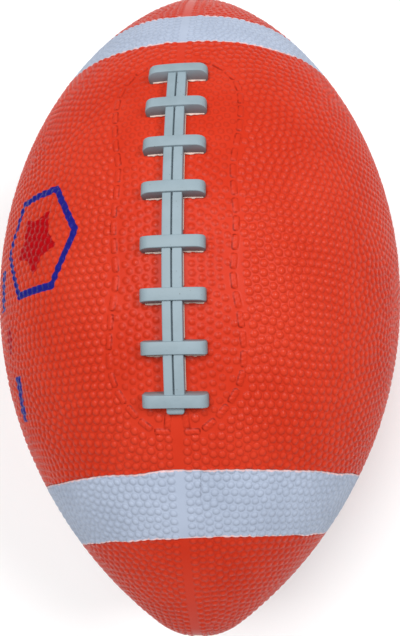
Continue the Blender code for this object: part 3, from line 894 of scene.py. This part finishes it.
def flash_line(start, end, seed):
    """A thin ragged skin of squeezed-out rubber at the foot of the lace, from one point to another."""
    start, end = np.array(start), np.array(end)
    length = float(np.hypot(*(end - start)))
    way = (end - start) / length
    out = np.array([way[1], -way[0]])
    steps = max(int(length / FLASH_STEP), 4)
    draws = np.random.default_rng(seed).uniform(0.0, 1.0, steps + 5)
    ragged = np.convolve(draws, np.ones(3) / 3.0, "valid")[: steps + 1]
    swell = np.sin(np.linspace(0.1, math.pi - 0.1, steps + 1)) ** 0.5
    reach = FLASH_LEAST + FLASH_SPREAD * np.maximum(ragged - 0.32, 0.0) * swell
    rings = []
    heights = []
    for share, wide in zip(np.linspace(0.0, 1.0, steps + 1), reach):
        spot = start + (end - start) * share
        w = np.array((-0.0003, wide * 0.7, wide, wide * 0.6, -0.0003))
        h = np.array((0.00065, 0.0006, 0.00045, 0.0001, 0.0001))
        along, across = (spot + out * w[:, None]).T
        rings.append(lace_points(along, across, h))
        heights.append(np.full(len(h), FLASH_SHADE_RISE))
    return loft(rings, heights, 1.0)


def joined(name, solids):
    """Joins several lofted solids in one piece and notes how high over the skin each point lies."""
    points, faces, heights, flash = [], [], [], []
    start = 0
    for solid in solids:
        points.append(solid[0])
        faces += [[start + corner for corner in face] for face in solid[1]]
        heights.append(solid[2])
        flash.append(solid[3])
        start += len(solid[0])
    mesh = bpy.data.meshes.new(name)
    mesh.from_pydata(np.concatenate(points).tolist(), [], faces)
    piece = bpy.data.objects.new(name, mesh)
    bpy.context.scene.collection.objects.link(piece)
    note(piece, "rise", np.concatenate(heights) * 1000.0)
    note(piece, "flash", np.concatenate(flash))
    turned = bmesh.new()
    turned.from_mesh(mesh)
    bmesh.ops.recalc_face_normals(turned, faces=turned.faces[:])
    turned.to_mesh(mesh)
    turned.free()
    mesh.shade_smooth()
    mesh.set_sharp_from_angle(angle=math.radians(40.0))
    return piece


LACE_CLOUD = 0.0066667
LACE_SPECK = 0.0011111


def lace_rubber():
    """Pale grey-blue rubber, matt from its mould, with painted shade low down and small specks of dirt."""
    material, tree, place = new_material("moulded_lace_rubber")
    values = {"Scale": 1.0 / LACE_CLOUD, "Detail": 5.0}
    clouds = add_node(tree, "ShaderNodeTexNoise", {}, values, {"Vector": place}).outputs["Fac"]
    values = {"From Min": 0.3, "From Max": 0.7}
    cloud = add_node(tree, "ShaderNodeMapRange", SOFT_RANGE, values, {"Value": clouds}).outputs["Result"]
    values = {6: linear("#84959D"), 7: linear("#8B9CA5")}
    colour = add_node(tree, "ShaderNodeMix", COLOUR_MIX, values, {0: cloud}).outputs[2]

    # Painted shade darkens the lace low down, from the skin up to the tops of the bars at 4.5 mm, and dirt
    # lies in small specks.
    rise = add_node(tree, "ShaderNodeAttribute", {"attribute_name": "rise"}).outputs["Fac"]
    values = {"From Max": 4.6, "To Min": 0.75, "To Max": 0.0}
    painted_shade = add_node(tree, "ShaderNodeMapRange", SOFT_RANGE, values, {"Value": rise}).outputs["Result"]
    values = {"Scale": 1.0 / LACE_SPECK, "Detail": 2.0}
    specks = add_node(tree, "ShaderNodeTexNoise", {}, values, {"Vector": place}).outputs["Fac"]
    values = {"From Min": 0.7, "From Max": 0.78, "To Max": 0.6}
    speck = add_node(tree, "ShaderNodeMapRange", SOFT_RANGE, values, {"Value": specks}).outputs["Result"]

    # The flash is thin enough for the orange under it to warm its colour.
    flash = add_node(tree, "ShaderNodeAttribute", {"attribute_name": "flash"}).outputs["Fac"]
    values = {"From Min": 0.3, "From Max": 0.7}
    flash = add_node(tree, "ShaderNodeMapRange", SOFT_RANGE, values, {"Value": flash}).outputs["Result"]
    for amount, shade in ((painted_shade, "#6A5A57"), (speck, "#4B4640"), (flash, "#D2B7AC")):
        links = {0: amount, 6: colour}
        colour = add_node(tree, "ShaderNodeMix", COLOUR_MIX, {7: linear(shade)}, links).outputs[2]

    values = {"From Min": 0.2, "From Max": 0.8, "To Min": 0.45, "To Max": 0.6}
    gloss = add_node(tree, "ShaderNodeMapRange", SOFT_RANGE, values, {"Value": clouds}).outputs["Result"]
    values = {"Strength": 0.2, "Distance": 0.0002}
    relief = add_node(tree, "ShaderNodeBump", {}, values, {"Height": specks}).outputs["Normal"]
    values = {"IOR": 1.52, "Specular IOR Level": 0.3}
    links = {"Base Color": colour, "Roughness": gloss, "Normal": relief}
    shader = add_node(tree, "ShaderNodeBsdfPrincipled", {}, values, links)
    add_node(tree, "ShaderNodeOutputMaterial", {}, {}, {"Surface": shader.outputs["BSDF"]})
    return material


FLASH_FROM_BAR = 0.003
FLASH_TO_BAR = 0.0135
FLASH_OFF_RAIL = 0.0001
FLASH_OFF_LEFT_END = 0.0015
FLASH_OFF_RIGHT_END = 0.0008

solids = [lace_rails()] + [lace_bar(place) for place in BAR_PLACES]
for number, place in enumerate(BAR_PLACES):
    foot = place + BAR_FOOT_HALF
    left_end = (foot, -BAR_HALF_LENGTH + FLASH_OFF_LEFT_END)
    right_end = (foot, BAR_HALF_LENGTH - FLASH_OFF_RIGHT_END)
    solids.append(flash_line(left_end, (foot, -RAIL_HALF), 40 + number))
    solids.append(flash_line((foot, RAIL_HALF), right_end, 60 + number))
    if place < BAR_PLACES[-1]:
        side = RAIL_HALF + FLASH_OFF_RAIL
        solids.append(flash_line((place + FLASH_FROM_BAR, side), (place + FLASH_TO_BAR, side), 80 + number))
lace = joined("lace", solids)
lace.data.materials.append(lace_rubber())
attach(lace, "root")
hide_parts("lace_strip")

# Valve: a soft black rubber sleeve bonded to the bladder, flush in the side seam, with a push-in plug
# that closes behind the needle.

VALVE_CLOUD = 0.0025


def valve_rubber(name, dark, light):
    """Soft moulded rubber, satin, with a faint bloom."""
    material, tree, place = new_material(name)
    values = {"Scale": 1.0 / VALVE_CLOUD, "Detail": 4.0}
    clouds = add_node(tree, "ShaderNodeTexNoise", {}, values, {"Vector": place}).outputs["Fac"]
    values = {"From Min": 0.4, "From Max": 0.7}
    bloom = add_node(tree, "ShaderNodeMapRange", SOFT_RANGE, values, {"Value": clouds}).outputs["Result"]
    values = {6: linear(dark), 7: linear(light)}
    colour = add_node(tree, "ShaderNodeMix", COLOUR_MIX, values, {0: bloom}).outputs[2]
    values = {"To Min": 0.4, "To Max": 0.6}
    dullness = add_node(tree, "ShaderNodeMapRange", SOFT_RANGE, values, {"Value": bloom}).outputs["Result"]
    values = {"Strength": 0.2, "Distance": 0.0001}
    relief = add_node(tree, "ShaderNodeBump", {}, values, {"Height": clouds}).outputs["Normal"]
    links = {"Base Color": colour, "Roughness": dullness, "Normal": relief}
    shader = add_node(tree, "ShaderNodeBsdfPrincipled", {}, {"IOR": 1.52}, links)
    add_node(tree, "ShaderNodeOutputMaterial", {}, {}, {"Surface": shader.outputs["BSDF"]})
    return material


sleeve_rubber = valve_rubber("valve_rubber", "#1D1D1F", "#333333")
plug_rubber = valve_rubber("valve_plug_rubber", "#4E4E51", "#636366")
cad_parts["valve_housing"].material_slots[0].material = sleeve_rubber
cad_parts["valve_plug"].material_slots[0].material = plug_rubber

# Studio: a plain pale floor that the grain rests on, soft light from all round, one soft box over the
# right of the ball and a larger one overhead. The camera looks down from just in front of the middle.

FLOOR_HALF = 3.0
FLOOR_CLOUD = 0.33333
CENTRE = Vector((0.0, 0.0, BALL_RADIUS))


def pale_floor():
    """Matt white board, faintly uneven."""
    material, tree, place = new_material("matt_white_board")
    values = {"Scale": 1.0 / FLOOR_CLOUD, "Detail": 3.0}
    clouds = add_node(tree, "ShaderNodeTexNoise", {}, values, {"Vector": place}).outputs["Fac"]
    values = {6: linear("#F6F6F6"), 7: linear("#FAFAFA")}
    colour = add_node(tree, "ShaderNodeMix", COLOUR_MIX, values, {0: clouds}).outputs[2]
    values = {"To Min": 0.9, "To Max": 0.95}
    dullness = add_node(tree, "ShaderNodeMapRange", SOFT_RANGE, values, {"Value": clouds}).outputs["Result"]
    values = {"Strength": 0.02, "Distance": 0.001}
    relief = add_node(tree, "ShaderNodeBump", {}, values, {"Height": clouds}).outputs["Normal"]
    links = {"Base Color": colour, "Roughness": dullness, "Normal": relief}
    shader = add_node(tree, "ShaderNodeBsdfPrincipled", {}, {}, links)
    add_node(tree, "ShaderNodeOutputMaterial", {}, {}, {"Surface": shader.outputs["BSDF"]})
    return material


corners = ((-1, -1), (1, -1), (1, 1), (-1, 1))
floor_points = [(x * FLOOR_HALF, y * FLOOR_HALF, -GRAIN_HEIGHT) for x, y in corners]
floor_mesh = bpy.data.meshes.new("floor")
floor_mesh.from_pydata(floor_points, [], [(0, 1, 2, 3)])
floor_mesh.materials.append(pale_floor())
floor = bpy.data.objects.new("floor", floor_mesh)
bpy.context.scene.collection.objects.link(floor)
floor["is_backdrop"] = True

world = bpy.data.worlds.new("studio")
world.use_nodes = True
world.node_tree.nodes["Background"].inputs["Color"].default_value = linear("#FFFFFF")
world.node_tree.nodes["Background"].inputs["Strength"].default_value = 0.25
bpy.context.scene.world = world


def soft_box(name, way, distance, size, power):
    """A square lamp that faces the ball from one side."""
    lamp = bpy.data.lights.new(name, "AREA")
    lamp.size = size
    lamp.energy = power
    place = bpy.data.objects.new(name, lamp)
    place.location = CENTRE + Vector(way).normalized() * distance
    place.rotation_euler = (CENTRE - place.location).to_track_quat("-Z", "Y").to_euler()
    bpy.context.scene.collection.objects.link(place)


soft_box("key", (-0.09, 0.61, 0.79), 1.3, 0.35, 6.6)
soft_box("overhead", (-0.08, -0.16, 1.0), 1.6, 1.0, 23.5)

camera_data = bpy.data.cameras.new("camera")
camera_data.lens = 36.6
camera_data.sensor_width = 36.0
camera = bpy.data.objects.new("camera", camera_data)
eye = Vector((0.0787, 0.0283, 0.3646))
aim = Vector((0.0134, 0.0, 0.0855))
forward = (aim - eye).normalized()
right = forward.cross(Vector((-1.0, 0.0, 0.0))).normalized()
up = right.cross(forward)
camera.matrix_world = Matrix.Translation(eye) @ Matrix((right, up, -forward)).transposed().to_4x4()
bpy.context.scene.collection.objects.link(camera)
bpy.context.scene.camera = camera
bpy.context.scene.view_settings.view_transform = "Standard"

sizes = {"cad": cad_box, "visual": [list(corner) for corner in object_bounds()]}
